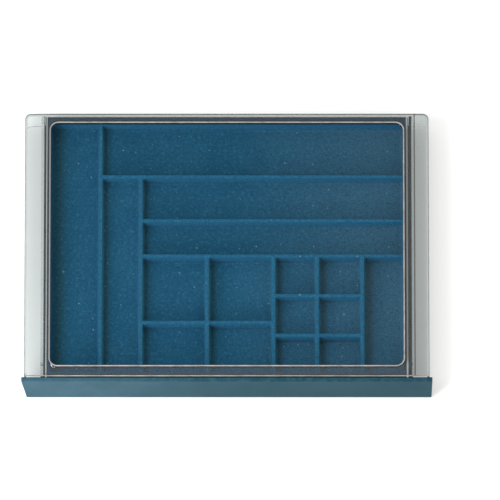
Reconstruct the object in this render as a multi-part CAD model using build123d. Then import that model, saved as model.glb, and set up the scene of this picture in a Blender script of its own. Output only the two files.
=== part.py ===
from build123d import *
import os

# Stackable jewelry tray: an open-topped clear case with a flocked tray that pulls out to the front.
# Millimetres. +X is to the right, +Y to the rear, +Z up, and z = 0 is the table under the feet.

# Clear case: overall sizes and sheet thicknesses
case_width = 355.6
case_depth = 244.9
rear_corner_radius = 5.3
deck_thickness = 2.5
skirt_thickness = 2.0
guide_thickness = 3.0
base_thickness = 2.2
wing_width = 14.5
edge_round = 0.4
glue_line = 0.05

# Opening in the deck, and the lip round it that the feet of the unit above drop inside
side_cover = 4.9
end_margin = 9.4
opening_radius = 6.6
lip_width = 1.6
lip_height = 1.4
lip_round = 0.5

# Corner feet and the slide strips that carry the tray
foot_height = 4.4
foot_arm = 26.0
foot_width = 8.0
foot_play = 0.5
foot_inner_radius = 2.0
skirt_lift = 2.6
strip_width = 12.0
strip_thickness = 0.8
strip_inset = 24.0
strip_end_margin = 10.0

# Running clearances of the tray in the case
run_gap = 0.1
side_gap = 0.5
rear_gap = 0.5
deck_gap = 0.6
panel_gap = 0.6

# Tray box
tray_floor_thickness = 2.0
tray_wall = 2.6
insert_gap = 0.2

# Pull-out travel and the pins that stop it, which run in a groove in each side of the tray
travel = 190.0
pin_radius = 1.5
pin_inset = 14.0
pin_fit = 0.05
pin_height = 10.0
groove_depth = 1.4
groove_play = 0.3
pin_reach = 1.0
stop_play = 0.2

# Flocked insert
insert_floor_thickness = 1.4
insert_depth = 18.0
insert_wall = 1.7
insert_draft = 4.0
well_corner_radius = 5.0
well_floor_radius = 2.0
divider_height = 12.0
divider_top = 3.0
divider_base = 5.2
divider_root = 0.4

# Compartments, measured from the inner edge of the rim or from divider centre to divider centre
long_column = 44.0
narrow_column = 35.5
small_column_left = 38.3
small_column_right = 39.9
end_column = 36.1
rear_row = 48.5
second_row = 41.2
third_row = 33.1
front_cell_depth = 49.1
small_cell_rows = 3

# Front panel, with a sloping face that stands further out at its foot
panel_overhang = 2.5
panel_top_thickness = 4.0
panel_slope = 5.0
panel_land = 2.0
panel_drop = 3.0
panel_floor_gap = 1.0
panel_left_draft = 4.4
panel_right_draft = 0.5
panel_round = 0.8

# Countersunk screws that hold the front panel to the tray
screw_radius = 1.5
screw_head_radius = 2.8
screw_bite = 3.6
screw_fit = 0.05
screw_height = 9.0
screw_spacing = 92.0
screw_count = 4

# Heights, from the table up
base_z = foot_height
base_top = base_z + base_thickness
strip_top = base_top + strip_thickness
tray_z = strip_top + run_gap
tray_floor_top = tray_z + tray_floor_thickness
insert_floor_top = tray_floor_top + insert_floor_thickness
rim_z = insert_floor_top + insert_depth
deck_z = rim_z + deck_gap
deck_top = deck_z + deck_thickness
panel_top = deck_top - panel_drop

# Places across, each a distance from the middle
case_half = case_width / 2
guide_outer = case_half - wing_width
guide_inner = guide_outer - guide_thickness
tray_half = guide_inner - side_gap
opening_half = tray_half - side_cover
insert_half = tray_half - tray_wall - insert_gap
well_half = insert_half - insert_wall
panel_half = case_half + panel_overhang

# Places from front to rear, with the whole centred on y = 0
total_depth = case_depth + panel_gap + panel_top_thickness + panel_slope
case_rear = total_depth / 2
case_front = case_rear - case_depth
case_middle = (case_front + case_rear) / 2
opening_depth = case_depth - 2 * end_margin
skirt_inner_rear = case_rear - skirt_thickness
panel_back = case_front - panel_gap
tray_front = panel_back
tray_rear = skirt_inner_rear - rear_gap
insert_front = tray_front + tray_wall + insert_gap
insert_rear = tray_rear - tray_wall - insert_gap
well_front = insert_front + insert_wall
well_rear = insert_rear - insert_wall
pin_y = case_front + pin_inset
pin_z = tray_z + pin_height
screw_z = tray_z + screw_height

# Divider centre lines
column_1 = -well_half + long_column
column_2 = column_1 + narrow_column
column_6 = well_half - end_column
column_5 = column_6 - small_column_right
column_4 = column_5 - small_column_left
column_3 = (column_2 + column_4) / 2
row_1 = well_rear - rear_row
row_2 = row_1 - second_row
row_3 = row_2 - third_row
front_cell_row = well_front + front_cell_depth
small_cell_depth = (row_3 - well_front) / small_cell_rows
small_rows = [row_3 - small_cell_depth * step for step in range(1, small_cell_rows)]


def block(x_low, x_high, y_low, y_high, z_low, z_high):
    """A rectangular block between two corners."""
    centre = Pos((x_low + x_high) / 2, (y_low + y_high) / 2, (z_low + z_high) / 2)
    return centre * Box(x_high - x_low, y_high - y_low, z_high - z_low)


def mirrored(part):
    """The same piece on the other side of the middle plane."""
    return mirror(part, about=Plane.YZ)


def flat_edges(part, height):
    """The edges of a piece that lie flat at one height, to within a hundredth of a millimetre."""
    margin = 0.01
    return part.edges().filter_by_position(Axis.Z, height - margin, height + margin)


def case_outline(inset=0.0):
    """Plan of the case: square at the front and rounded at the rear corners."""
    half = case_half - inset
    rear = case_rear - inset
    plan = Pos(0, (case_front + rear) / 2) * Rectangle(2 * half, rear - case_front)
    rear_corners = plan.vertices().group_by(Axis.Y)[-1]
    return fillet(rear_corners, rear_corner_radius - inset)


def opening_outline(grow=0.0):
    """Plan of the deck's opening, grown evenly by a distance."""
    width = 2 * (opening_half + grow)
    depth = opening_depth + 2 * grow
    return Pos(0, case_middle) * RectangleRounded(width, depth, opening_radius + grow)


def make_top_deck():
    """Flat clear top, cut out over the tray for the lip ring."""
    plate = Pos(0, 0, deck_z) * extrude(case_outline(), deck_thickness)
    plate = fillet(flat_edges(plate, deck_top), edge_round)
    return plate - Pos(0, 0, deck_z) * extrude(opening_outline(lip_width + glue_line), deck_thickness)


def make_stacking_lip():
    """Ring let into the deck round the opening, which stands proud to locate the feet of the unit above."""
    ring_height = deck_thickness + lip_height
    ring = Pos(0, 0, deck_z) * extrude(opening_outline(lip_width) - opening_outline(), ring_height)
    return fillet(flat_edges(ring, deck_top + lip_height), lip_round)


def make_outer_skirt():
    """One bent strip that makes the left side, the rear and the right side."""
    band = extrude(case_outline() - case_outline(skirt_thickness), deck_z - glue_line - skirt_lift)
    return Pos(0, 0, skirt_lift) * band


def make_guide_wall():
    """Right-hand guide wall between the base and the deck, with the hole for its stop pin."""
    rear = skirt_inner_rear - glue_line
    wall = block(guide_inner, guide_outer, case_front, rear, base_top + glue_line, deck_z - glue_line)
    hole = Rot(0, 90, 0) * Cylinder(pin_radius + pin_fit, 3 * guide_thickness)
    return wall - Pos((guide_inner + guide_outer) / 2, pin_y, pin_z) * hole


def make_base_panel():
    """Clear floor of the case, under the guide walls."""
    rear = skirt_inner_rear - glue_line
    return block(-guide_outer, guide_outer, case_front, rear, base_z, base_top)


def make_slide_strip():
    """Right-hand strip on the base that the tray runs on."""
    outer = tray_half - strip_inset
    front = case_front + strip_end_margin
    rear = skirt_inner_rear - strip_end_margin
    return block(outer - strip_width, outer, front, rear, base_top, strip_top)


def make_corner_feet():
    """Four angled feet that fit inside the lip corners of the unit below."""
    half = opening_half - foot_play
    depth = opening_depth / 2 - foot_play
    across = Pos(half - foot_arm / 2, depth - foot_width / 2) * Rectangle(foot_arm, foot_width)
    along = Pos(half - foot_width / 2, depth - foot_arm / 2) * Rectangle(foot_width, foot_arm)
    plan = across + along
    outer_corner = plan.vertices().sort_by(lambda v: v.X + v.Y)[-1]
    plan = fillet(outer_corner, opening_radius - foot_play)
    inner = Vector(half - foot_width, depth - foot_width)
    inner_corner = plan.vertices().sort_by(lambda v: (Vector(v.X, v.Y) - inner).length)[0]
    plan = fillet(inner_corner, foot_inner_radius)
    right_rear = extrude(plan, foot_height - glue_line)
    right_front = mirror(right_rear, about=Plane.XZ)
    feet = [right_rear, right_front, mirrored(right_rear), mirrored(right_front)]
    return [Pos(0, case_middle, 0) * foot for foot in feet]


def make_stop_pins():
    """A pin through each guide wall, with its end in the groove in the tray's side."""
    inner = tray_half - pin_reach
    length = guide_outer - inner
    pin = Pos(inner + length / 2, pin_y, pin_z) * Rot(0, 90, 0) * Cylinder(pin_radius, length)
    return [pin, mirrored(pin)]


def make_tray_floor():
    """Floor of the tray box."""
    return block(-tray_half, tray_half, tray_front, tray_rear, tray_z, tray_floor_top)


def make_tray_side():
    """Right-hand side of the tray box, grooved for the stop pin over the whole travel."""
    side = block(tray_half - tray_wall, tray_half, tray_front, tray_rear, tray_floor_top, rim_z)
    half_height = pin_radius + groove_play
    groove_front = pin_y - pin_radius - groove_play
    groove_rear = pin_y + travel + pin_radius + stop_play
    low, high = pin_z - half_height, pin_z + half_height
    past_side = tray_half + groove_depth
    return side - block(tray_half - groove_depth, past_side, groove_front, groove_rear, low, high)


def make_tray_cross_wall(y_low):
    """Front or rear wall of the tray box, between its sides."""
    half = tray_half - tray_wall
    return block(-half, half, y_low, y_low + tray_wall, tray_floor_top, rim_z)


def screw_places():
    """Centres of the panel screws, in a row."""
    first = -screw_spacing * (screw_count - 1) / 2
    return [first + screw_spacing * step for step in range(screw_count)]


def screw_shape(clearance=0.0):
    """A countersunk screw with its flat head at the origin, pointing to the front."""
    radius = screw_radius + clearance
    head_radius = screw_head_radius + clearance
    head_height = head_radius - radius
    head = Pos(0, 0, head_height / 2) * Cone(head_radius, radius, head_height)
    length = tray_wall + screw_bite + clearance
    shank = Pos(0, 0, length / 2) * Cylinder(radius, length)
    return Rot(90, 0, 0) * (head + shank)


def screw_places_of(shape):
    """The same shape at each of the screw places."""
    return [Pos(x, tray_front + tray_wall, screw_z) * shape for x in screw_places()]


def make_tray_inner_front():
    """Front wall of the tray box, countersunk for the panel screws."""
    wall = make_tray_cross_wall(tray_front)
    for hole in screw_places_of(screw_shape(screw_fit)):
        wall -= hole
    return wall


def panel_plan(left_in, right_in, thickness, height):
    """Plan of the front panel at one height, with its two ends drawn in and its back against the tray."""
    width = 2 * panel_half - left_in - right_in
    middle_x = (left_in - right_in) / 2
    return Pos(middle_x, panel_back - thickness / 2, height) * Rectangle(width, thickness)


def make_front_panel():
    """Wide front panel, thicker at its foot, with blind holes for the screws."""
    foot_thickness = panel_top_thickness + panel_slope
    land_top = panel_floor_gap + panel_land
    top = panel_plan(0, 0, panel_top_thickness, panel_top)
    foot = panel_plan(panel_left_draft, panel_right_draft, foot_thickness, land_top)
    land = panel_plan(panel_left_draft, panel_right_draft, foot_thickness, panel_floor_gap)
    panel = loft([foot.face(), top.face()], ruled=True)
    panel += extrude(land, panel_land)
    seen_edges = panel.edges().filter_by(lambda e: e.center().Y < panel_back - panel_round)
    seen_edges = seen_edges.filter_by(lambda e: abs(e.center().Z - land_top) > glue_line)
    panel = fillet(seen_edges, panel_round)
    for hole in screw_places_of(screw_shape(screw_fit)):
        panel -= hole
    return panel


def make_panel_screws():
    """Four countersunk screws from inside the tray."""
    return screw_places_of(screw_shape())


def ridge_profile():
    """Section of a divider: sloping sides and a round top, from just under the insert's floor."""
    radius = divider_top / 2
    foot = divider_base / 2
    shoulder = divider_height - radius
    left = Line((-foot, -divider_root), (-radius, shoulder))
    crown = ThreePointArc((-radius, shoulder), (0, divider_height), (radius, shoulder))
    right = Line((radius, shoulder), (foot, -divider_root))
    bottom = Line((foot, -divider_root), (-foot, -divider_root))
    return make_face([left, crown, right, bottom])


def divider_along_y(x, y_low, y_high):
    """A divider that runs from front to rear."""
    plane = Plane(origin=(x, y_high, insert_floor_top), x_dir=(1, 0, 0), z_dir=(0, -1, 0))
    return extrude(plane * ridge_profile(), y_high - y_low)


def divider_along_x(y, x_low, x_high):
    """A divider that runs from left to right."""
    plane = Plane(origin=(x_low, y, insert_floor_top), x_dir=(0, 1, 0), z_dir=(1, 0, 0))
    return extrude(plane * ridge_profile(), x_high - x_low)


def insert_dividers():
    """All the dividers, each running into the rim or to the middle of the divider it meets."""
    in_rim = insert_wall / 2
    front = well_front - in_rim
    rear = well_rear + in_rim
    right = well_half + in_rim
    dividers = [
        divider_along_y(column_1, front, rear),
        divider_along_y(column_2, front, row_1),
        divider_along_x(row_1, column_1, right),
        divider_along_x(row_2, column_2, right),
        divider_along_x(row_3, column_2, right),
        divider_along_x(front_cell_row, column_2, column_4),
    ]
    dividers += [divider_along_y(x, front, row_3) for x in (column_3, column_4, column_5, column_6)]
    dividers += [divider_along_x(y, column_4, column_6) for y in small_rows]
    return dividers


def make_flocked_insert():
    """Moulded insert: a thin drafted tray with sixteen compartments between low dividers."""
    body = block(-insert_half, insert_half, insert_front, insert_rear, tray_floor_top, rim_z)
    well_plan = RectangleRounded(2 * well_half, well_rear - well_front, well_corner_radius)
    well = extrude(well_plan, amount=-insert_depth, taper=insert_draft)
    well = fillet(flat_edges(well, -insert_depth), well_floor_radius)
    body -= Pos(0, (well_front + well_rear) / 2, rim_z) * well
    for divider in insert_dividers():
        body += divider
    return body


guide_wall = make_guide_wall()
slide_strip = make_slide_strip()
tray_side = make_tray_side()
nodes = {
    "top_deck": make_top_deck(),
    "stacking_lip": make_stacking_lip(),
    "outer_skirt": make_outer_skirt(),
    "left_guide_wall": mirrored(guide_wall),
    "right_guide_wall": guide_wall,
    "base_panel": make_base_panel(),
    "left_slide_strip": mirrored(slide_strip),
    "right_slide_strip": slide_strip,
    "corner_feet": make_corner_feet(),
    "stop_pins": make_stop_pins(),
    "tray_floor": make_tray_floor(),
    "tray_left_side": mirrored(tray_side),
    "tray_right_side": tray_side,
    "tray_rear_wall": make_tray_cross_wall(tray_rear - tray_wall),
    "tray_inner_front": make_tray_inner_front(),
    "flocked_insert": make_flocked_insert(),
    "front_panel": make_front_panel(),
    "panel_screws": make_panel_screws(),
}

os.makedirs("parts", exist_ok=True)
for name, shape in nodes.items():
    pieces = shape if isinstance(shape, list) else [shape]
    solids = [solid for piece in pieces for solid in piece.solids()]
    export_step(Compound(solids), f"parts/{name}.step")
    print(name, len(solids), "solids", round(sum(solid.volume for solid in solids)), "mm3")
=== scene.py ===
"""Looks of the stackable jewelry tray: a clear case with a pull-out tray and its blue flocked insert."""
import math

import bmesh
import bpy
from bpy.props import FloatProperty, FloatVectorProperty, IntProperty, PointerProperty
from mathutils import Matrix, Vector


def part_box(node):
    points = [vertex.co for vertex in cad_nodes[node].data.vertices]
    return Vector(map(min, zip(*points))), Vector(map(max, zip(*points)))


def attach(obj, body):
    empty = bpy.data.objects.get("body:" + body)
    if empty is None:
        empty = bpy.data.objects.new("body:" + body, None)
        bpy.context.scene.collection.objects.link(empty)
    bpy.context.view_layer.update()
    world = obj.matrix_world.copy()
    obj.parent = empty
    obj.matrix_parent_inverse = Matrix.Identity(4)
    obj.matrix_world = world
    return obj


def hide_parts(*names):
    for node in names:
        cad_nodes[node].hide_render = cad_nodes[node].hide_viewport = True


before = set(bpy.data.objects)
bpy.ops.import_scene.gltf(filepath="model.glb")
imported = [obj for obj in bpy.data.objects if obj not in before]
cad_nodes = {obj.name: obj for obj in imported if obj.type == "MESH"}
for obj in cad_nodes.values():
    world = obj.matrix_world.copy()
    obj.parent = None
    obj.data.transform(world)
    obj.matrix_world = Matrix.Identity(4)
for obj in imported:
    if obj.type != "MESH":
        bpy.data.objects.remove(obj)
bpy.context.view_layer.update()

bl_info = {
    "name": "Stackable jewelry tray",
    "version": (1, 0, 0),
    "blender": (4, 5, 0),
    "location": "3D View > Sidebar > Tray",
    "description": "Clear stacking case with a pull-out tray and a blue flocked insert",
    "category": "Object",
}

MM = 0.001
TOUCH = 0.01 * MM  # points closer than this are at the same place
FAR = 1.0  # metres, past the tray on every side
EVERYWHERE = (-FAR, FAR, -FAR, FAR)  # lowest and highest X and Y
UPWARD = 0.85  # least upward part of the normal of a face that looks up
FORWARD = 0.5  # the same for a face that looks to the front
SEAM_SHADE_HALF = 0.6 * MM  # half of the width of a painted shade line at a seam
SKIRT_BEND = 5.3 * MM  # outer radius of the skirt's rear corners
SKIRT_LINE = 0.7 * MM  # width of the dark line along the top of the skirt's outer face
# The rest of a guide wall's top and foot gets painted shade; the pale part is wider on the left wall than on
# the right.
GUIDE_PALE = {"left": 2.45 * MM, "right": 0.8 * MM}  # outer part of a guide wall's edges that stays pale
FILM_WIDTH = 36.0  # millimetres
SIGHT = 100.0  # metres that the camera sees to
MIX_COLOURS = (6, 7)  # colour inputs of Blender's Mix node
MIX_RESULT = 2  # its colour output

insert_low, insert_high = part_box("flocked_insert")
guide_low, guide_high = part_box("right_guide_wall")
side_low, side_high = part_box("tray_right_side")
deck_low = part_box("top_deck")[0]
lip_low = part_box("stacking_lip")[0]
skirt_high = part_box("outer_skirt")[1]
panel_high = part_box("front_panel")[1]


# Properties

def length(name, description, millimetres):
    """A size in metres that the sidebar shows with its unit."""
    return FloatProperty(name=name, description=description, default=millimetres * MM, unit="LENGTH",
                         precision=4)


def angle(name, description, degrees):
    """An angle in radians that the sidebar shows in degrees."""
    return FloatProperty(name=name, description=description, default=math.radians(degrees), unit="ROTATION")


def amount(name, description, value, unit="NONE"):
    """A strength, a power or a large size in metres, which can't go below zero."""
    return FloatProperty(name=name, description=description, default=value, min=0, unit=unit)


def spot(name, description, x, y, z):
    """A place in metres."""
    return FloatVectorProperty(name=name, description=description, default=(x, y, z), subtype="TRANSLATION",
                               unit="LENGTH")


def to_linear(value):
    """A screen value from 0 to 1 in linear light, by the usual sRGB curve."""
    if value > 0.04045:
        return ((value + 0.055) / 1.055) ** 2.4
    return value / 12.92


def colour(name, description, red, green, blue):
    """A colour, given as it looks on a screen and kept in linear light."""
    values = [to_linear(part) for part in (red, green, blue)]
    return FloatVectorProperty(name=name, description=description, default=values, subtype="COLOR", size=3,
                               min=0, max=1)


class TrayInsertSizes(bpy.types.PropertyGroup):
    """Sizes of the flocked insert, where its dividers run and how far its painted shadows reach."""

    rim_wall: length("Rim wall", "Thickness of the insert's outer wall at its top", 1.7)
    floor_thickness: length("Floor thickness", "Thickness of the insert's floor", 1.4)
    divider_height: length("Divider height", "From the floor to the top of a divider", 12.0)
    divider_top: length("Divider top", "Width of a divider at its top", 3.0)
    divider_slope: length("Divider slope", "How far each side of a divider runs out to its foot", 1.1)
    soft_edge: length("Soft edge", "Rounding of the dividers and of the compartments' floors", 1.35)
    rim_edge: length("Rim edge", "Rounding of the insert's top edge", 0.5)
    wall_draft: angle("Wall draft", "Lean of the rim's wall", 4.0)
    long_column: length("Long column", "Left rim to the centre of the first divider", 44.0)
    narrow_column: length("Narrow column", "First to second upright divider", 35.5)
    small_column_left: length("Small column, left", "Width of the left column of small compartments", 38.3)
    small_column_right: length("Small column, right", "Width of the right column of small compartments",
                               39.9)
    end_column: length("End column", "Last divider to the right rim", 36.1)
    rear_row: length("Rear row", "Rear rim to the first cross divider", 48.5)
    second_row: length("Second row", "First to second cross divider", 41.2)
    third_row: length("Third row", "Second to third cross divider", 33.1)
    front_cell_depth: length("Front cell depth", "Front rim to the divider of the square compartments", 49.1)
    small_cell_rows: IntProperty(name="Small cell rows", description="Rows of small compartments", default=3,
                                 min=1)
    # Painted shadow: how far the greyed flock reaches to the right of the left rim and of each divider, where
    # their shadows fall.
    rim_painted_shadow: length("Dust at the rim", "How far the dust reaches from the left rim", 9.0)
    divider_painted_shadow: length("Dust at the dividers", "How far the dust reaches to the right of a divider", 5.5)


class TrayFinishes(bpy.types.PropertyGroup):
    """Colours of the tray's pieces."""

    flock: colour("Flock", "Colour of the insert's flock", 0.095, 0.310, 0.425)
    flock_worn: colour("Flock, brushed", "Colour of the flock where its nap lies the other way",
                       0.135, 0.350, 0.465)
    lint: colour("Lint", "Colour of the dust specks on the flock", 0.60, 0.70, 0.74)
    # Painted light: the flock is paler and greyer towards its right end, against the key lamp's falloff
    # there.
    flock_painted_right_light: colour("Flock, faded", "Colour of the flock towards its faded right end",
                        0.275, 0.405, 0.480)
    # Painted highlight: a paler flock on the dividers' tops and upper walls and on faces that look to the
    # front, where the lamps light them.
    flock_painted_highlight: colour("Flock, raised", "Colour of the flock on the dividers' tops and on front faces",
                        0.130, 0.380, 0.515)
    # Painted light: a paler flock on the dividers' right flanks, which face away from the key lamp, to soften
    # their shadows.
    flock_painted_flank_light: colour("Flock, flank", "Colour of the flock on the dividers' right flanks",
                        0.210, 0.490, 0.610)
    # Painted shadow: the greyer flock at the foot of the compartments' left walls, where their shadows fall,
    # and the same towards the right end.
    flock_painted_shadow: colour("Flock, dusty", "Colour of the flock where dust has greyed it", 0.178, 0.339, 0.364)
    flock_right_painted_shadow: colour("Flock, dusty and faded", "The same towards the insert's right end",
                              0.414, 0.487, 0.491)
    clear: colour("Clear plastic", "Tint of the case's clear plastic", 0.935, 0.955, 0.955)
    # Painted shade: the dark tint of the line along the top of the skirt's outer face.
    bent: colour("Bent clear strip", "Tint of the bent clear strip's outer edge where it meets the deck",
                 0.42, 0.45, 0.44)
    # Painted shade: the dark tint laid on the guide walls' top and foot and on the lines where the sheets
    # meet, where they lie in shade.
    painted_dark_tint: colour("Clear plastic on edge", "Tint of clear plastic seen along the sheet and of its seams",
                      0.16, 0.20, 0.22)
    polished: colour("Clear plastic, polished", "Tint of the clear plastic where it is thin",
                     0.985, 0.99, 0.99)
    # Painted highlight: the opaque pale colour of the clear sheets' top edges, dimmer in places.
    edge: colour("Sheet's edge", "Colour of the sheet's polished edge", 0.71, 0.69, 0.68)
    edge_highlight_dim: colour("Sheet's edge, dull", "Colour of the sheet's edge where it is less polished",
                      0.45, 0.45, 0.44)
    shade: colour("Clear plastic's shade", "Light that the clear plastic lets through", 0.890, 0.895, 0.895)
    lip_shade: colour("Lip's shade", "Light that the lip lets through; its edges turn the rest away",
                      0.30, 0.31, 0.31)
    # Painted highlight: the panel's left end is paler, where the lamps at the left light it most.
    panel: colour("Front panel", "Colour of the front panel's faded left end", 0.203, 0.348, 0.412)
    panel_deep: colour("Front panel, unfaded", "Colour of the rest of the front panel", 0.098, 0.278, 0.335)
    panel_worn: colour("Front panel, rubbed", "Colour of the front panel's rubbed edges", 0.30, 0.44, 0.50)
    lip_side: colour("Lip's sides", "Tint of the sides of the stacking lip", 0.50, 0.54, 0.55)
    box: colour("Tray box", "Colour of the box round the insert", 0.11, 0.31, 0.40)
    # The box's top faces are darker, and a pale painted highlight line runs along the top of each side.
    box_shut: colour("Tray box, top", "Colour of the box's top faces beside their polished edge",
                     0.07, 0.17, 0.22)
    box_painted_highlight: colour("Tray box, edge", "Colour of the box's polished top edges", 0.84, 0.84, 0.85)
    strip: colour("Slide strips", "Colour of the strips that the tray runs on", 0.86, 0.86, 0.83)
    steel: colour("Screws", "Colour of the screws", 0.62, 0.62, 0.61)


class TrayStageSettings(bpy.types.PropertyGroup):
    """Camera, floor and light."""

    elevation: angle("Elevation", "Camera's height above the horizon", 70.0)
    distance: amount("Distance", "From the camera to the tray", 13.0, "LENGTH")
    view_width: length("View width", "Width of what the camera sees", 440.5)
    aim_x: length("Aim to the right", "How far to the right of the middle the camera looks", 20.4)
    aim_y: length("Aim to the rear", "How far behind the middle the camera looks", 10.9)
    key_power: amount("Key lamp", "Power of the large lamp at the left", 9.0, "POWER")
    key_size: amount("Key size", "Side of the large lamp", 0.5, "LENGTH")
    key_place: spot("Key place", "Where the large lamp hangs", -0.68, -0.35, 1.25)
    side_power: amount("Side lamp", "Power of the low lamp at the left front", 3.0, "POWER")
    side_size: amount("Side size", "Side of the low lamp", 0.25, "LENGTH")
    side_place: spot("Side place", "Where the low lamp stands", -0.45, -0.62, 0.36)
    fill: amount("Fill", "Strength of the even light from all round", 0.70)
    fill_colour: colour("Fill colour", "Colour of the even light", 0.99, 0.99, 0.975)
    ceiling: amount("Ceiling", "How bright the room above looks in a reflection", 0.45)
    floor_lift: amount("Floor lift", "White that the camera sees on top of the floor's light", 0.36)
    floor_lift_inside: amount("Floor lift inside", "The same for the floor seen through or in clear plastic",
                              0.18)
    floor_lift_left: amount("Floor lift at the left", "The same under the front of the case's left wing",
                            0.30)
    floor_side: amount("Floor size", "Side of the square floor", 40.0, "LENGTH")


# Modelling helpers

def start_cube(name, low, high):
    """A block between two corners, opened in edit mode."""
    bpy.ops.object.select_all(action="DESELECT")
    bpy.ops.mesh.primitive_cube_add(size=1, location=(Vector(low) + Vector(high)) / 2)
    piece = bpy.context.object
    piece.name = name
    piece.data.name = name
    piece.scale = Vector(high) - Vector(low)
    bpy.ops.object.transform_apply(location=True, rotation=True, scale=True)
    bpy.ops.object.mode_set(mode="EDIT")
    return piece


def pick(piece, kind, wanted):
    """Selects the faces, edges or corners that a test wants, and nothing else."""
    bpy.ops.mesh.select_mode(type=kind)
    bpy.ops.mesh.select_all(action="DESELECT")
    mesh = bmesh.from_edit_mesh(piece.data)
    items = {"FACE": mesh.faces, "EDGE": mesh.edges, "VERT": mesh.verts}[kind]
    found = [item for item in items if wanted(item)]
    if not found:
        raise RuntimeError(f"{piece.name}: nothing to select")
    for item in found:
        item.select_set(True)
    mesh.select_flush_mode()
    bmesh.update_edit_mesh(piece.data)


def middle(edge):
    """Middle point of an edge."""
    return (edge.verts[0].co + edge.verts[1].co) / 2


def is_sharp(edge, least=math.radians(30)):
    """True where the two faces of an edge meet at a clear angle."""
    return len(edge.link_faces) == 2 and edge.calc_face_angle() > least


def finish_piece(piece, body, material, replaced, smooth=math.radians(35)):
    """Closes edit mode and gives a piece its finish, body and slot."""
    bpy.ops.object.mode_set(mode="OBJECT")
    bpy.ops.object.select_all(action="DESELECT")
    piece.select_set(True)
    bpy.context.view_layer.objects.active = piece
    bpy.ops.object.shade_smooth_by_angle(angle=smooth)
    piece.data.materials.clear()
    piece.data.materials.append(material)
    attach(piece, body)
    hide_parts(replaced)


# Flocked insert

class InsertPlan:
    """Where the insert's rim, dividers and levels lie. Columns count from the left and rows from the rear."""

    def __init__(self, sizes):
        well_right = insert_high.x - sizes.rim_wall
        well_front = insert_low.y + sizes.rim_wall
        well_rear = insert_high.y - sizes.rim_wall
        self.sizes = sizes
        self.divider_z = insert_low.z + sizes.floor_thickness + sizes.divider_height
        self.rise = insert_high.z - self.divider_z
        self.lean = self.rise * math.tan(sizes.wall_draft)
        self.half_top = sizes.divider_top / 2
        self.well_left = -well_right
        self.right = well_right - self.lean
        self.front = well_front + self.lean
        self.rear = well_rear - self.lean
        self.middle_y = (self.front + self.rear) / 2
        self.half_depth = (self.rear - self.front) / 2

        self.column_1 = self.well_left + sizes.long_column
        self.column_2 = self.column_1 + sizes.narrow_column
        self.column_6 = well_right - sizes.end_column
        self.column_5 = self.column_6 - sizes.small_column_right
        self.column_4 = self.column_5 - sizes.small_column_left
        self.column_3 = (self.column_2 + self.column_4) / 2
        self.row_1 = well_rear - sizes.rear_row
        self.row_2 = self.row_1 - sizes.second_row
        self.row_3 = self.row_2 - sizes.third_row
        self.cell_row = well_front + sizes.front_cell_depth
        self.small_depth = (self.row_3 - well_front) / sizes.small_cell_rows

    def dividers(self):
        """Each divider's axis, its line and the region that it crosses, as lowest and highest X and Y."""
        right, front, rear = self.right, self.front, self.rear
        right_of_1 = self.column_1 + self.half_top
        right_of_2 = self.column_2 + self.half_top
        right_of_4 = self.column_4 + self.half_top
        left_of_4 = self.column_4 - self.half_top
        left_of_6 = self.column_6 - self.half_top
        before_1 = self.row_1 - self.half_top
        before_2 = self.row_2 - self.half_top
        before_3 = self.row_3 - self.half_top
        yield "X", self.column_1, (-right, right, front, rear)
        yield "Y", self.row_1, (right_of_1, right, front, rear)
        yield "X", self.column_2, (right_of_1, right, front, before_1)
        yield "Y", self.row_2, (right_of_2, right, front, before_1)
        yield "Y", self.row_3, (right_of_2, right, front, before_2)
        yield "X", self.column_4, (right_of_2, right, front, before_3)
        yield "X", self.column_6, (right_of_4, right, front, before_3)
        yield "X", self.column_5, (right_of_4, left_of_6, front, before_3)
        for step in range(1, self.sizes.small_cell_rows):
            yield "Y", self.row_3 - self.small_depth * step, (right_of_4, left_of_6, front, before_3)
        yield "X", self.column_3, (right_of_2, left_of_4, front, before_3)
        yield "Y", self.cell_row, (right_of_2, left_of_4, front, before_3)

    def left_walls(self):
        """For each left wall its line, its rear end and how far the painted shadow reaches from it."""
        reach = self.sizes.divider_painted_shadow
        yield self.well_left, self.rear, self.sizes.rim_painted_shadow
        yield self.column_1, self.rear, reach
        yield self.column_2, self.row_1, reach
        for line in (self.column_3, self.column_4, self.column_5, self.column_6):
            yield line, self.row_3, reach

    def on_top(self, face, region=EVERYWHERE):
        """True for a face that looks up at the dividers' level, with its centre in a region."""
        x_low, x_high, y_low, y_high = region
        centre = face.calc_center_median()
        level = face.normal.z > UPWARD and abs(centre.z - self.divider_z) < TOUCH
        return level and x_low < centre.x < x_high and y_low < centre.y < y_high

    def in_well(self, point):
        """True for a point inside the rim, seen from above."""
        return abs(point.x) < self.right + TOUCH and abs(point.y - self.middle_y) < self.half_depth + TOUCH

    def is_compartment(self, face):
        """True for a level face too wide to be part of a divider."""
        xs = [vert.co.x for vert in face.verts]
        ys = [vert.co.y for vert in face.verts]
        narrowest = min(max(xs) - min(xs), max(ys) - min(ys))
        return self.on_top(face) and narrowest > 2 * self.sizes.divider_top

    def is_soft_edge(self, edge):
        """True for the sharp edges of the dividers and the compartments' floors."""
        centre = middle(edge)
        between = insert_low.z + TOUCH < centre.z < insert_high.z - TOUCH
        return is_sharp(edge) and self.in_well(centre) and between

    def is_rim_edge(self, edge):
        """True for the sharp edges of the rim's top."""
        return is_sharp(edge) and middle(edge).z > insert_high.z - TOUCH


def score(piece, plan, axis, line, region=EVERYWHERE):
    """Cuts the block's top at a place on X or Y, inside a region."""
    pick(piece, "FACE", lambda face: plan.on_top(face, region))
    point = (line, 0, 0) if axis == "X" else (0, line, 0)
    normal = (1, 0, 0) if axis == "X" else (0, 1, 0)
    bpy.ops.mesh.bisect(plane_co=point, plane_no=normal)


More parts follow.
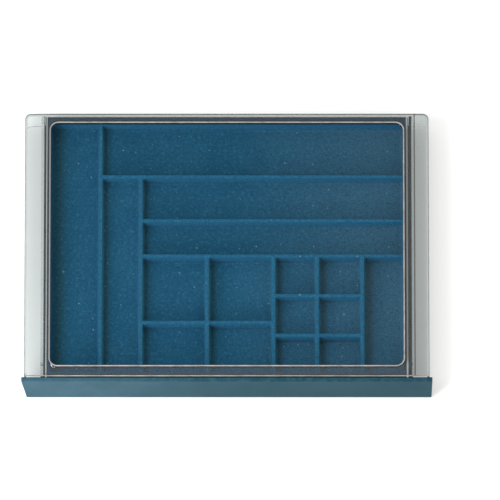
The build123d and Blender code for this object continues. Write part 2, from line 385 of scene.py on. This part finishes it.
def score_rim_and_dividers(piece, plan):
    """Cuts the outlines of the rim and of both sides of each divider into the block's top."""
    for line in (-plan.right, plan.right):
        score(piece, plan, "X", line)
    for line in (plan.front, plan.rear):
        score(piece, plan, "Y", line)
    for axis, line, region in plan.dividers():
        for side in (-plan.half_top, plan.half_top):
            score(piece, plan, axis, line + side, region)


def raise_rim(piece, plan):
    """Raises the rim and leans its inner wall outwards."""
    pick(piece, "FACE", lambda face: plan.on_top(face) and not plan.in_well(face.calc_center_median()))
    bpy.ops.mesh.extrude_region_move(TRANSFORM_OT_translate={"value": (0, 0, plan.rise)})
    pick(piece, "VERT", lambda vert: vert.co.z > insert_high.z - TOUCH and plan.in_well(vert.co))
    wider = (plan.right + plan.lean) / plan.right
    deeper = (plan.half_depth + plan.lean) / plan.half_depth
    bpy.ops.transform.resize(value=(wider, deeper, 1), center_override=(0, plan.middle_y, insert_high.z))


def sink_compartments(piece, plan):
    """Sinks each compartment's floor, with walls that run out to their foot."""
    pick(piece, "FACE", plan.is_compartment)
    bpy.ops.mesh.inset(thickness=plan.sizes.divider_slope, depth=-plan.sizes.divider_height,
                       use_individual=True)


def round_off(piece, wanted, radius, steps):
    """Rounds the edges that a test wants."""
    pick(piece, "EDGE", wanted)
    bpy.ops.mesh.bevel(offset=radius, segments=steps, profile=0.5, affect="EDGES", clamp_overlap=True)


# Material helpers

def new_material(name):
    """A material with its node tree and its main shader."""
    material = bpy.data.materials.new(name)
    material.use_nodes = True
    return material, material.node_tree, material.node_tree.nodes["Principled BSDF"]


def plug(tree, socket, value):
    """Links a socket to an output, or sets its value."""
    if isinstance(value, bpy.types.NodeSocket):
        tree.links.new(value, socket)
    else:
        socket.default_value = value


def connect(tree, node, values):
    """Links or sets several sockets of a node, by name or number."""
    for name, value in values.items():
        plug(tree, node.inputs[name], value)


def add(tree, kind, sockets=None, **settings):
    """A node with its settings, and its sockets linked or set."""
    made = tree.nodes.new(kind)
    for name, value in settings.items():
        setattr(made, name, value)
    connect(tree, made, sockets or {})
    return made


def place(tree):
    """The point on the piece, in metres."""
    return add(tree, "ShaderNodeTexCoord").outputs["Object"]


def split(tree, vector):
    """The three parts of a vector."""
    return add(tree, "ShaderNodeSeparateXYZ", {"Vector": vector}).outputs


def drawn_out(tree, point, squeeze, turn=0.0):
    """The point for a pattern drawn out along Y. A turn takes another part of the same pattern."""
    made = add(tree, "ShaderNodeMapping", {"Vector": point, "Scale": (1, squeeze, 1),
                                           "Rotation": (0, 0, turn)})
    return made.outputs["Vector"]


def noise(tree, point, grain, detail=2.0, roughness=0.5):
    """Noise from 0 to 1 whose lumps are about one grain across."""
    made = add(tree, "ShaderNodeTexNoise", {"Vector": point, "Scale": 1 / grain, "Detail": detail,
                                             "Roughness": roughness})
    return made.outputs["Fac"]


def maths(tree, operation, *values):
    """One step of arithmetic."""
    made = add(tree, "ShaderNodeMath", operation=operation)
    connect(tree, made, dict(enumerate(values)))
    return made.outputs[0]


def both(tree, first, second):
    """The share that two shares have together."""
    return maths(tree, "MULTIPLY", first, second)


def either(tree, first, second):
    """The larger of two shares."""
    return maths(tree, "MAXIMUM", first, second)


def off_line(tree, value, line):
    """How far a value is from a line, to either side."""
    return maths(tree, "ABSOLUTE", maths(tree, "SUBTRACT", value, line))


def spread(tree, value, low, high, to_low=0.0, to_high=1.0):
    """Stretches a range of values to another one, and stops at its ends."""
    made = add(tree, "ShaderNodeMapRange", {"Value": value, "From Min": low, "From Max": high,
                                            "To Min": to_low, "To Max": to_high})
    return made.outputs["Result"]


def beyond(tree, value, limit, soft=0.1 * MM, most=1.0):
    """A share that is nothing below a limit and full above it, over a soft step to both sides of it."""
    return spread(tree, value, limit - soft, limit + soft, 0.0, most)


def within(tree, value, limit, soft=0.1 * MM, most=1.0):
    """A share that is full below a limit and nothing above it, over a soft step to both sides of it."""
    return spread(tree, value, limit + soft, limit - soft, 0.0, most)


def toned(shade, strength, lift=0.0):
    """A colour made darker or paler all over."""
    return tuple(min(1.0, value * strength + lift) for value in shade)


def blend_colours(tree, share, first, second):
    """Mixes two colours by a share."""
    made = add(tree, "ShaderNodeMix", {"Factor": share}, data_type="RGBA")
    for number, value in zip(MIX_COLOURS, (first, second)):
        plug(tree, made.inputs[number], value if isinstance(value, bpy.types.NodeSocket) else (*value, 1))
    return made.outputs[MIX_RESULT]


def layered(tree, base, layers):
    """Lays colours over a base one after another, each where its share says."""
    for share, shade in layers:
        base = blend_colours(tree, share, base, shade)
    return base


def bump(tree, height, depth, strength=1.0, below=None):
    """A bump of a depth in metres, on top of another one if there is one."""
    made = add(tree, "ShaderNodeBump", {"Height": height, "Distance": depth, "Strength": strength})
    if below is not None:
        plug(tree, made.inputs["Normal"], below)
    return made.outputs["Normal"]


# Flock

def painted_shadow_at_walls(tree, x, y, left_walls):
    """How much painted shadow the flock gets: most at the foot of each compartment's left wall, where its
    shadow falls, less to the right of it.
    """
    wall_foot = 2.7 * MM
    foot_soft = 0.7 * MM
    rear_soft = 0.5 * MM
    share = 0.0
    for line, rear_end, reach in left_walls:
        off = maths(tree, "SUBTRACT", x, line)
        past_wall = beyond(tree, off, wall_foot, foot_soft)
        near_wall = within(tree, off, 1.4 * reach, 0.4 * reach)
        before_rear = within(tree, y, rear_end - rear_soft, rear_soft)
        share = either(tree, share, both(tree, both(tree, past_wall, near_wall), before_rear))
    return share


def lint_specks(tree, point, facing_up):
    """Where the specks of lint lie: small spots of several sizes, only on faces that look up."""
    spacing = 13 * MM
    least_radius = 0.020  # of the spacing
    most_radius = 0.060
    cells = add(tree, "ShaderNodeTexVoronoi", {"Vector": point, "Scale": 1 / spacing},
                voronoi_dimensions="2D")
    chance = split(tree, cells.outputs["Color"])
    radius = spread(tree, chance[1], 0.0, 1.0, least_radius, most_radius)
    inside = maths(tree, "LESS_THAN", cells.outputs["Distance"], radius)
    chosen = spread(tree, chance[0], 0.45, 1.0, 0.0, 0.38)
    return both(tree, both(tree, inside, chosen), spread(tree, facing_up, 0.80, 0.90))


def flock_material(finish, plan):
    """Short dense flock: a soft sheen, a brushed nap, fine grain and a few specks of lint, with painted
    highlights, painted light and painted shadows in its colour.
    """
    material, tree, shader = new_material("blue_flock")
    point = place(tree)
    x, y, z = split(tree, point)
    facing_x, facing_y, facing_z = split(tree, add(tree, "ShaderNodeNewGeometry").outputs["Normal"])

    nap = spread(tree, noise(tree, point, grain=34 * MM), 0.35, 0.65)
    streaks = noise(tree, drawn_out(tree, point, 0.22), grain=3.2 * MM, detail=3.0, roughness=0.6)
    streak = spread(tree, streaks, 0.3, 0.7)
    tufts = noise(tree, point, grain=1.1 * MM, detail=3.0, roughness=0.65)
    fibre = noise(tree, point, grain=0.33 * MM, roughness=0.7)
    mottle = noise(tree, point, grain=2.6 * MM, roughness=0.6)
    brushed = maths(tree, "MULTIPLY_ADD", nap, 0.55, maths(tree, "MULTIPLY", streak, 0.30))

    # Painted light: the flock turns paler and greyer towards its right end, against the key lamp's falloff.
    pale_start_x = 5 * MM
    past_rim_x = insert_low.x + 6 * MM
    past_rim_y = insert_low.y + 3 * MM
    crown_z = plan.divider_z - 5.25 * MM
    painted_shadow_z = plan.divider_z - 5.5 * MM
    front_wall_z = plan.divider_z - 8.5 * MM
    rim_shade_z = insert_high.z - 0.45 * MM
    painted_pale = spread(tree, x, pale_start_x, insert_high.x, 0.0, 0.75)
    # Painted highlight: the dividers' tops and upper walls, and the upper part of faces that look to the
    # front, get the paler flock where the lamps light them.
    crown = beyond(tree, z, crown_z, soft=2.75 * MM, most=0.8)
    looks_forward = spread(tree, facing_y, -0.4, -0.8)
    front_wall = both(tree, looks_forward, beyond(tree, z, front_wall_z, soft=2.5 * MM))
    # Painted light: faces that look to the right, past the left rim, get a paler flock that softens the
    # dividers' shadows.
    looks_right = spread(tree, facing_x, 0.15, 0.60)
    flank = both(tree, looks_right, beyond(tree, x, past_rim_x, soft=MM))
    # Painted shadow: low down, to the right of each left wall, the flock is greyed where the wall's shadow
    # falls.
    low_down = within(tree, z, painted_shadow_z, soft=2.5 * MM, most=0.6)
    shadow_painted = both(tree, low_down, painted_shadow_at_walls(tree, x, y, plan.left_walls()))
    dust = blend_colours(tree, painted_pale, finish.flock_painted_shadow, finish.flock_right_painted_shadow)
    # Painted shade: the rim's top, in shade under the deck's margin, is darker everywhere but at the front.
    painted_rim_shade = beyond(tree, z, rim_shade_z, soft=0.15 * MM, most=0.8)
    behind_front = beyond(tree, y, past_rim_y, soft=MM)

    deep = toned(finish.flock, 0.5)
    pale = toned(finish.flock_worn, 1.5, 0.01)
    base = layered(tree, blend_colours(tree, brushed, finish.flock, finish.flock_worn), (
        (painted_pale, finish.flock_painted_right_light),
        (either(tree, crown, front_wall), finish.flock_painted_highlight),
        (flank, finish.flock_painted_flank_light),
        (shadow_painted, dust),
        (spread(tree, tufts, 0.60, 0.32, 0.0, 0.65), deep),
        (both(tree, painted_rim_shade, behind_front), deep),
        (spread(tree, fibre, 0.55, 0.80, 0.0, 0.5), pale),
        (spread(tree, mottle, 0.55, 0.70, 0.0, 0.35), pale),
        (spread(tree, mottle, 0.45, 0.30, 0.0, 0.35), deep),
        (lint_specks(tree, point, facing_z), finish.lint),
    ))
    surface = bump(tree, tufts, depth=0.10 * MM, strength=0.55)
    connect(tree, shader, {
        "Base Color": base,
        "Roughness": 0.93,
        "Specular IOR Level": 0.12,
        "Sheen Weight": 0.12,
        "Sheen Roughness": 0.45,
        "Sheen Tint": (0.30, 0.58, 0.78, 1),
        "Normal": bump(tree, fibre, depth=0.05 * MM, strength=0.8, below=surface),
    })
    return material


# Clear plastic

def deck_seam_shade(tree, point):
    """A line of painted shade under the deck, beside the right guide wall."""
    seam_x = guide_high.x + 1.8 * MM
    seam_z = deck_low.z + 0.3 * MM
    x, _, z = split(tree, point)
    return both(tree, within(tree, z, seam_z), within(tree, off_line(tree, x, seam_x), SEAM_SHADE_HALF, most=0.95))


def base_seam_shade(tree, point):
    """Lines of painted shade on the base, at the inner faces of both guide walls."""
    seam_x = guide_low.x - 0.3 * MM
    x, _, _ = split(tree, point)
    return within(tree, off_line(tree, maths(tree, "ABSOLUTE", x), seam_x), SEAM_SHADE_HALF)


def guide_edge_shade(pale_part):
    """A mask of painted shade on the top and foot of a guide wall, all but a pale part on its outer side."""
    edge_depth = 0.45 * MM
    edge_soft = 0.15 * MM

    def mask(tree, point):
        x, _, z = split(tree, point)
        inner_part = within(tree, maths(tree, "ABSOLUTE", x), guide_high.x - pale_part)
        top = beyond(tree, z, guide_high.z - edge_depth, edge_soft)
        foot = within(tree, z, guide_low.z + edge_depth, edge_soft)
        return both(tree, inner_part, either(tree, top, foot))

    return mask


def skirt_reach(tree, point):
    """How far outwards a point is from the centres of the skirt's bends: their radius at the outer face."""
    x, y, _ = split(tree, point)
    past_side = maths(tree, "SUBTRACT", maths(tree, "ABSOLUTE", x), skirt_high.x - SKIRT_BEND)
    past_rear = maths(tree, "SUBTRACT", y, skirt_high.y - SKIRT_BEND)
    squares = []
    for past in (past_side, past_rear):
        past = maths(tree, "MAXIMUM", past, 0.0)
        squares.append(maths(tree, "MULTIPLY", past, past))
    return maths(tree, "SQRT", maths(tree, "ADD", *squares))


def skirt_line(tree, point):
    """A painted dark line along the top of the skirt's outer face."""
    line_z = skirt_high.z - 1.4 * MM
    outside = beyond(tree, skirt_reach(tree, point), SKIRT_BEND - SKIRT_LINE)
    return both(tree, outside, beyond(tree, split(tree, point)[2], line_z, soft=0.2 * MM))


def skirt_top_highlight(tree, point):
    """The rest of the skirt's top edge, where it is glued under the deck, frosted milky white as a painted
    highlight.
    """
    frost_z = skirt_high.z - 0.3 * MM
    inside = within(tree, skirt_reach(tree, point), SKIRT_BEND - SKIRT_LINE)
    return both(tree, inside, beyond(tree, split(tree, point)[2], frost_z))


def let_light_through(tree, shader, shade):
    """Light on its way to or from a lamp passes straight through a clear piece, and is counted once."""
    straight = add(tree, "ShaderNodeBsdfTransparent", {"Color": (*shade, 1)})
    path = add(tree, "ShaderNodeLightPath").outputs
    lighting = either(tree, path["Is Shadow Ray"], path["Is Diffuse Ray"])
    mixed = add(tree, "ShaderNodeMixShader", {0: lighting, 1: shader.outputs[0], 2: straight.outputs[0]})
    connect(tree, tree.nodes["Material Output"], {"Surface": mixed.outputs[0]})


def clear_sheet_material(name, finish, tint, milk=0.0, scratch=0.35, haze=0.02, tinted=None, plain=None,
                         frosted=None, shade=None):
    """Polished clear sheet with faint smudges and hairline scratches, tinted or frosted where a mask says."""
    material, tree, shader = new_material(name)
    point = place(tree)
    smudge = spread(tree, noise(tree, point, grain=26 * MM, detail=3.0, roughness=0.6), 0.45, 0.80)
    hair = spread(tree, noise(tree, drawn_out(tree, point, 0.04, turn=0.5), grain=0.8 * MM), 0.70, 0.78)
    dull = maths(tree, "MULTIPLY_ADD", smudge, 0.05, maths(tree, "MULTIPLY", hair, 0.12 * scratch))
    base = blend_colours(tree, smudge, tint, toned(tint, 0.97))
    if tinted:
        base = blend_colours(tree, tinted(tree, point), plain or finish.polished, base)
    clarity = 1.0 - milk
    if frosted:
        clarity = spread(tree, frosted(tree, point), 0.0, 1.0, clarity, 0.15)
    connect(tree, shader, {
        "Base Color": base,
        "Roughness": maths(tree, "ADD", dull, haze),
        "IOR": 1.49,
        "Transmission Weight": clarity,
        "Normal": bump(tree, hair, depth=0.01 * MM, strength=0.4 * scratch),
    })
    let_light_through(tree, shader, shade or finish.shade)
    return material


def edge_highlight_material(finish):
    """Painted highlight on the clear sheets' top edges: an opaque pale finish where they catch the light,
    with fine saw marks.
    """
    material, tree, shader = new_material("pale_edge")
    point = place(tree)
    x, _, _ = split(tree, point)
    marks = noise(tree, point, grain=0.6 * MM, detail=3.0, roughness=0.6)
    drift = spread(tree, noise(tree, point, grain=7 * MM), 0.35, 0.70)
    # The painted highlight is dimmer along the lip's left run and in drifting patches.
    left_run_x = lip_low.x + 3 * MM
    left_run = within(tree, x, left_run_x, soft=0.5 * MM, most=0.65)
    dull = either(tree, left_run, maths(tree, "MULTIPLY", drift, 0.6))
    connect(tree, shader, {
        "Base Color": blend_colours(tree, dull, finish.edge, finish.edge_highlight_dim),
        "Roughness": spread(tree, marks, 0.3, 0.7, 0.22, 0.40),
        "Normal": bump(tree, marks, depth=0.02 * MM, strength=0.4),
    })
    return material


# Plastic and steel

def panel_material(finish):
    """Satin moulded plastic with a fine grain, slightly rubbed at its edges, paler at its left end as a
    painted highlight and darker along the case as painted shade.
    """
    material, tree, shader = new_material("panel_satin")
    point = place(tree)
    x, y, z = split(tree, point)
    grain = noise(tree, point, grain=0.42 * MM, roughness=0.55)
    cloud = spread(tree, noise(tree, point, grain=22 * MM, detail=3.0), 0.35, 0.70)
    handled = spread(tree, noise(tree, point, grain=5 * MM, detail=3.0, roughness=0.6), 0.40, 0.75)

    rubbed_z = panel_high.z - 0.6 * MM
    rubbed_x = panel_high.x - 0.75 * MM
    shade_line_y = panel_high.y - 0.55 * MM
    top_edge = beyond(tree, z, rubbed_z, soft=0.5 * MM)
    end_edge = beyond(tree, maths(tree, "ABSOLUTE", x), rubbed_x, soft=0.65 * MM)
    rubbed = both(tree, either(tree, top_edge, end_edge), handled)
    # Painted shade: a dark line along the panel's back edge, in the gap where it meets the case.
    panel_shade_line = beyond(tree, y, shade_line_y, soft=0.15 * MM, most=0.85)

    # Painted highlight: the panel turns paler towards its left end, where the lamps at the left light it
    # most, over a step that wanders.
    painted_light_middle = -40 * MM
    painted_light_half = 50 * MM
    wander = 40 * MM
    drift = maths(tree, "MULTIPLY_ADD", noise(tree, point, grain=60 * MM), wander, x)
    past_painted_light = beyond(tree, drift, painted_light_middle, painted_light_half)
    base = layered(tree, blend_colours(tree, past_painted_light, finish.panel, finish.panel_deep), (
        (maths(tree, "MULTIPLY", cloud, 0.35), toned(finish.panel_deep, 0.85)),
        (maths(tree, "MULTIPLY", rubbed, 0.45), finish.panel_worn),
        (spread(tree, grain, 0.60, 0.80, 0.0, 0.18), finish.panel_worn),
        (panel_shade_line, toned(finish.panel, 0.15)),
    ))
    connect(tree, shader, {
        "Base Color": base,
        "Roughness": spread(tree, cloud, 0.0, 1.0, 0.38, 0.48),
        "Specular IOR Level": 0.18,
        "Normal": bump(tree, grain, depth=0.03 * MM, strength=0.55),
    })
    return material


def box_material(finish):
    """Dark moulded plastic of the tray's box, with darker top faces and a painted highlight line along the
    top of its two sides.
    """
    material, tree, shader = new_material("tray_box_plastic")
    point = place(tree)
    x, _, z = split(tree, point)
    flow = spread(tree, noise(tree, point, grain=9 * MM, detail=3.0), 0.35, 0.70)
    grain = noise(tree, point, grain=0.5 * MM)

    # The painted highlight line is narrower on the left side and wider on the right.
    left_narrowing = 1.35
    right_narrowing = 0.85
    highlight_half = 0.6 * MM
    top_z = side_high.z - 0.3 * MM
    across = off_line(tree, maths(tree, "ABSOLUTE", x), (side_low.x + side_high.x) / 2)
    across = maths(tree, "MULTIPLY", across, spread(tree, x, -MM, MM, left_narrowing, right_narrowing))
    near_top = beyond(tree, z, top_z, soft=0.2 * MM)
    # Painted highlight: the pale line along the middle of each side's top.
    polished = both(tree, within(tree, across, highlight_half), near_top)
    base = layered(tree, finish.box, (
        (maths(tree, "MULTIPLY", flow, 0.3), toned(finish.box, 0.75)),
        (near_top, finish.box_shut),
        (polished, finish.box_painted_highlight),
    ))
    connect(tree, shader, {
        "Base Color": base,
        "Roughness": spread(tree, flow, 0.0, 1.0, 0.44, 0.50),
        "Specular IOR Level": 0.28,
        "Normal": bump(tree, grain, depth=0.02 * MM, strength=0.4),
    })
    return material


def strip_material(finish):
    """Slippery pale strip, worn to a fine brushed shine along the tray's travel."""
    material, tree, shader = new_material("slide_strip_worn")
    along = drawn_out(tree, place(tree), 0.03)
    wear = spread(tree, noise(tree, along, grain=0.7 * MM, detail=3.0, roughness=0.6), 0.35, 0.70)
    connect(tree, shader, {
        "Base Color": blend_colours(tree, wear, finish.strip, toned(finish.strip, 0.82)),
        "Roughness": spread(tree, wear, 0.0, 1.0, 0.30, 0.50),
        "Normal": bump(tree, wear, depth=0.02 * MM, strength=0.4),
    })
    return material


def steel_material(finish):
    """Turned steel with fine rings and a few dull spots."""
    material, tree, shader = new_material("screw_steel")
    point = place(tree)
    ring = 0.9 * MM
    spots = spread(tree, noise(tree, point, grain=1.2 * MM, detail=3.0, roughness=0.6), 0.45, 0.75)
    rings = add(tree, "ShaderNodeTexWave", {"Vector": point, "Scale": 1 / ring, "Distortion": 0.4},
                wave_type="RINGS", rings_direction="Y")
    connect(tree, shader, {
        "Base Color": blend_colours(tree, spots, finish.steel, toned(finish.steel, 0.7)),
        "Metallic": 1.0,
        "Roughness": spread(tree, spots, 0.0, 1.0, 0.24, 0.42),
        "Normal": bump(tree, rings.outputs["Fac"], depth=0.01 * MM, strength=0.3),
    })
    return material


def refinish(names, material):
    """Gives CAD nodes a material."""
    for name in names:
        mesh = cad_nodes[name].data
        mesh.materials.clear()
        mesh.materials.append(material)


def refinish_faces(name, material, wanted):
    """Gives some faces of a CAD node a second material."""
    mesh = cad_nodes[name].data
    mesh.materials.append(material)
    for face in mesh.polygons:
        if wanted(face):
            face.material_index = len(mesh.materials) - 1


# Stage

def seen_directly(tree):
    """1 for what the camera sees itself, in a reflection or through clear plastic, and 0 for light."""
    path = add(tree, "ShaderNodeLightPath").outputs
    bounced = either(tree, path["Is Glossy Ray"], path["Is Transmission Ray"])
    seen = either(tree, path["Is Camera Ray"], bounced)
    return both(tree, seen, maths(tree, "LESS_THAN", path["Diffuse Depth"], 0.5))


def floor_material(settings):
    """Pale floor that the camera sees as white and that keeps the tray's shadow."""
    material, tree, shader = new_material("studio_floor")
    point = place(tree)
    x, y, _ = split(tree, point)
    wing_x = insert_low.x - 0.5 * MM
    wing_front_y = -110 * MM
    paper_dark = (0.84, 0.84, 0.84)
    paper_pale = (0.86, 0.86, 0.86)
    # Painted light: the floor under the front of the case's left wing shows more white, a painted pool of
    # light.
    at_left = within(tree, x, wing_x, soft=17.5 * MM)
    at_front = spread(tree, y, 0.0, wing_front_y, 0.6, 1.0)
    inside = spread(tree, both(tree, at_left, at_front), 0.0, 1.0, settings.floor_lift_inside,
                    settings.floor_lift_left)
    straight = add(tree, "ShaderNodeLightPath").outputs["Is Camera Ray"]
    extra = either(tree, inside, maths(tree, "MULTIPLY", straight, settings.floor_lift))
    connect(tree, shader, {
        "Base Color": blend_colours(tree, noise(tree, point, grain=4 * MM), paper_dark, paper_pale),
        "Roughness": 0.9,
        "Specular IOR Level": 0.0,
        "Emission Color": (1, 1, 1, 1),
        "Emission Strength": both(tree, seen_directly(tree), extra),
    })
    return material


def studio_world(settings):
    """Even light from all round, seen by the camera as white and in reflections as a room with a ceiling."""
    world = bpy.data.worlds.new("studio")
    world.use_nodes = True
    tree = world.node_tree
    even = tree.nodes["Background"]
    connect(tree, even, {"Color": (*settings.fill_colour, 1), "Strength": settings.fill})
    wall_top = 0.35  # upward part of a direction
    overhead = 0.95
    upward = split(tree, add(tree, "ShaderNodeTexCoord").outputs["Generated"])[2]
    ceiling = spread(tree, upward, wall_top, overhead, 1.0, settings.ceiling)
    camera_ray = add(tree, "ShaderNodeLightPath").outputs["Is Camera Ray"]
    room = add(tree, "ShaderNodeBackground", {"Color": (1, 1, 1, 1),
                                              "Strength": either(tree, ceiling, camera_ray)})
    mixed = add(tree, "ShaderNodeMixShader", {0: seen_directly(tree), 1: even.outputs[0], 2: room.outputs[0]})
    connect(tree, tree.nodes["World Output"], {"Surface": mixed.outputs[0]})
    return world


def add_lamp(name, power, size, location):
    """A soft square lamp that shines at the middle of the tray."""
    lamp = bpy.data.objects.new(name, bpy.data.lights.new(name, "AREA"))
    lamp.data.energy = power
    lamp.data.shape = "SQUARE"
    lamp.data.size = size
    lamp.location = location
    lamp.rotation_euler = (-lamp.location).to_track_quat("-Z", "Y").to_euler()
    bpy.context.scene.collection.objects.link(lamp)


def add_camera(settings):
    """A long lens that looks down on the tray from the front."""
    camera = bpy.data.objects.new("photo_camera", bpy.data.cameras.new("photo_camera"))
    bpy.context.scene.collection.objects.link(camera)
    back = Vector((0, -math.cos(settings.elevation), math.sin(settings.elevation)))
    camera.location = Vector((settings.aim_x, settings.aim_y, 0)) + back * settings.distance
    camera.rotation_euler = (-back).to_track_quat("-Z", "Y").to_euler()
    camera.data.sensor_width = FILM_WIDTH
    camera.data.lens = FILM_WIDTH * settings.distance / settings.view_width
    camera.data.clip_end = SIGHT
    return camera


# Operators

class TRAY_OT_flocked_insert(bpy.types.Operator):
    """Model the flocked insert with its sixteen compartments"""

    bl_idname = "tray.flocked_insert"
    bl_label = "Flocked insert"

    def execute(self, context):
        sizes = context.scene.tray_insert
        plan = InsertPlan(sizes)
        piece = start_cube("flocked_insert_soft", insert_low, (insert_high.x, insert_high.y, plan.divider_z))
        score_rim_and_dividers(piece, plan)
        raise_rim(piece, plan)
        sink_compartments(piece, plan)
        round_off(piece, plan.is_soft_edge, sizes.soft_edge, steps=4)
        round_off(piece, plan.is_rim_edge, sizes.rim_edge, steps=3)
        flock = flock_material(context.scene.tray_finishes, plan)
        finish_piece(piece, "tray", flock, "flocked_insert")
        return {"FINISHED"}


class TRAY_OT_clear_case(bpy.types.Operator):
    """Give the clear case's sheets, lip, feet and pins their finishes"""

    bl_idname = "tray.clear_case"
    bl_label = "Clear case"

    def execute(self, context):
        finish = context.scene.tray_finishes
        deck = clear_sheet_material("clear_deck", finish, finish.painted_dark_tint, milk=0.012, tinted=deck_seam_shade,
                                    plain=finish.clear)
        lip = clear_sheet_material("clear_lip", finish, finish.lip_side, haze=0.03, shade=finish.lip_shade)
        bent = clear_sheet_material("clear_skirt", finish, finish.bent, tinted=skirt_line,
                                    frosted=skirt_top_highlight)
        base = clear_sheet_material("clear_base", finish, finish.painted_dark_tint, tinted=base_seam_shade,
                                    plain=finish.clear)
        feet = clear_sheet_material("clear_foot", finish, finish.clear, milk=0.1, scratch=1.0)
        refinish(("top_deck",), deck)
        refinish(("stacking_lip",), lip)
        refinish(("outer_skirt",), bent)
        refinish(("base_panel",), base)
        refinish(("corner_feet", "stop_pins"), feet)
        # The guide walls' dark top and foot are painted shade.
        for side, pale_part in GUIDE_PALE.items():
            guide = clear_sheet_material(f"clear_guide_{side}", finish, finish.painted_dark_tint,
                                         tinted=guide_edge_shade(pale_part))
            refinish((f"{side}_guide_wall",), guide)
        # Painted highlight on the lip's top and the deck's front edge.
        edge = edge_highlight_material(finish)
        refinish_faces("stacking_lip", edge, lambda face: face.normal.z > UPWARD)
        refinish_faces("top_deck", edge, lambda face: face.normal.y < -FORWARD)
        return {"FINISHED"}


class TRAY_OT_tray_box(bpy.types.Operator):
    """Give the tray's box, its slide strips and its screws their finishes"""

    bl_idname = "tray.tray_box"
    bl_label = "Tray box, strips and screws"

    def execute(self, context):
        finish = context.scene.tray_finishes
        walls = ("tray_floor", "tray_left_side", "tray_right_side", "tray_rear_wall", "tray_inner_front")
        refinish(walls, box_material(finish))
        refinish(("left_slide_strip", "right_slide_strip"), strip_material(finish))
        refinish(("panel_screws",), steel_material(finish))
        return {"FINISHED"}


class TRAY_OT_front_panel(bpy.types.Operator):
    """Give the front panel its satin finish"""

    bl_idname = "tray.front_panel"
    bl_label = "Front panel"

    def execute(self, context):
        refinish(("front_panel",), panel_material(context.scene.tray_finishes))
        return {"FINISHED"}


class TRAY_OT_stage(bpy.types.Operator):
    """Set the floor, the lamps and the camera"""

    bl_idname = "tray.stage"
    bl_label = "Stage"

    def execute(self, context):
        scene = context.scene
        settings = scene.tray_stage
        bpy.ops.object.select_all(action="DESELECT")
        bpy.ops.mesh.primitive_plane_add(size=settings.floor_side)
        floor = context.object
        floor.name = "studio_floor"
        floor.data.materials.append(floor_material(settings))
        add_lamp("key_lamp", settings.key_power, settings.key_size, settings.key_place)
        add_lamp("side_lamp", settings.side_power, settings.side_size, settings.side_place)
        scene.world = studio_world(settings)
        scene.camera = add_camera(settings)
        scene.view_settings.view_transform = "Standard"
        return {"FINISHED"}


class TRAY_PT_sidebar(bpy.types.Panel):
    """Sizes, finishes and steps of the tray"""

    bl_idname = "TRAY_PT_sidebar"
    bl_label = "Stackable jewelry tray"
    bl_space_type = "VIEW_3D"
    bl_region_type = "UI"
    bl_category = "Tray"

    def draw(self, context):
        for name in GROUPS:
            group = getattr(context.scene, name)
            box = self.layout.box()
            box.label(text=group.bl_rna.description)
            for key in group.__annotations__:
                box.prop(group, key)
        for operator in OPERATORS:
            self.layout.operator(operator.bl_idname)


GROUPS = {
    "tray_insert": TrayInsertSizes,
    "tray_finishes": TrayFinishes,
    "tray_stage": TrayStageSettings,
}
OPERATORS = (
    TRAY_OT_flocked_insert,
    TRAY_OT_clear_case,
    TRAY_OT_tray_box,
    TRAY_OT_front_panel,
    TRAY_OT_stage,
)
CLASSES = (*GROUPS.values(), *OPERATORS, TRAY_PT_sidebar)


def register():
    """Adds the classes and the scene's settings."""
    for item in CLASSES:
        bpy.utils.register_class(item)
    for name, group in GROUPS.items():
        setattr(bpy.types.Scene, name, PointerProperty(type=group))


def unregister():
    """Takes the settings and the classes away again."""
    for name in GROUPS:
        delattr(bpy.types.Scene, name)
    for item in reversed(CLASSES):
        bpy.utils.unregister_class(item)


def main():
    """Makes every piece in order."""
    register()
    bpy.ops.tray.flocked_insert()
    bpy.ops.tray.clear_case()
    bpy.ops.tray.tray_box()
    bpy.ops.tray.front_panel()
    bpy.ops.tray.stage()


if __name__ == "__main__":
    main()
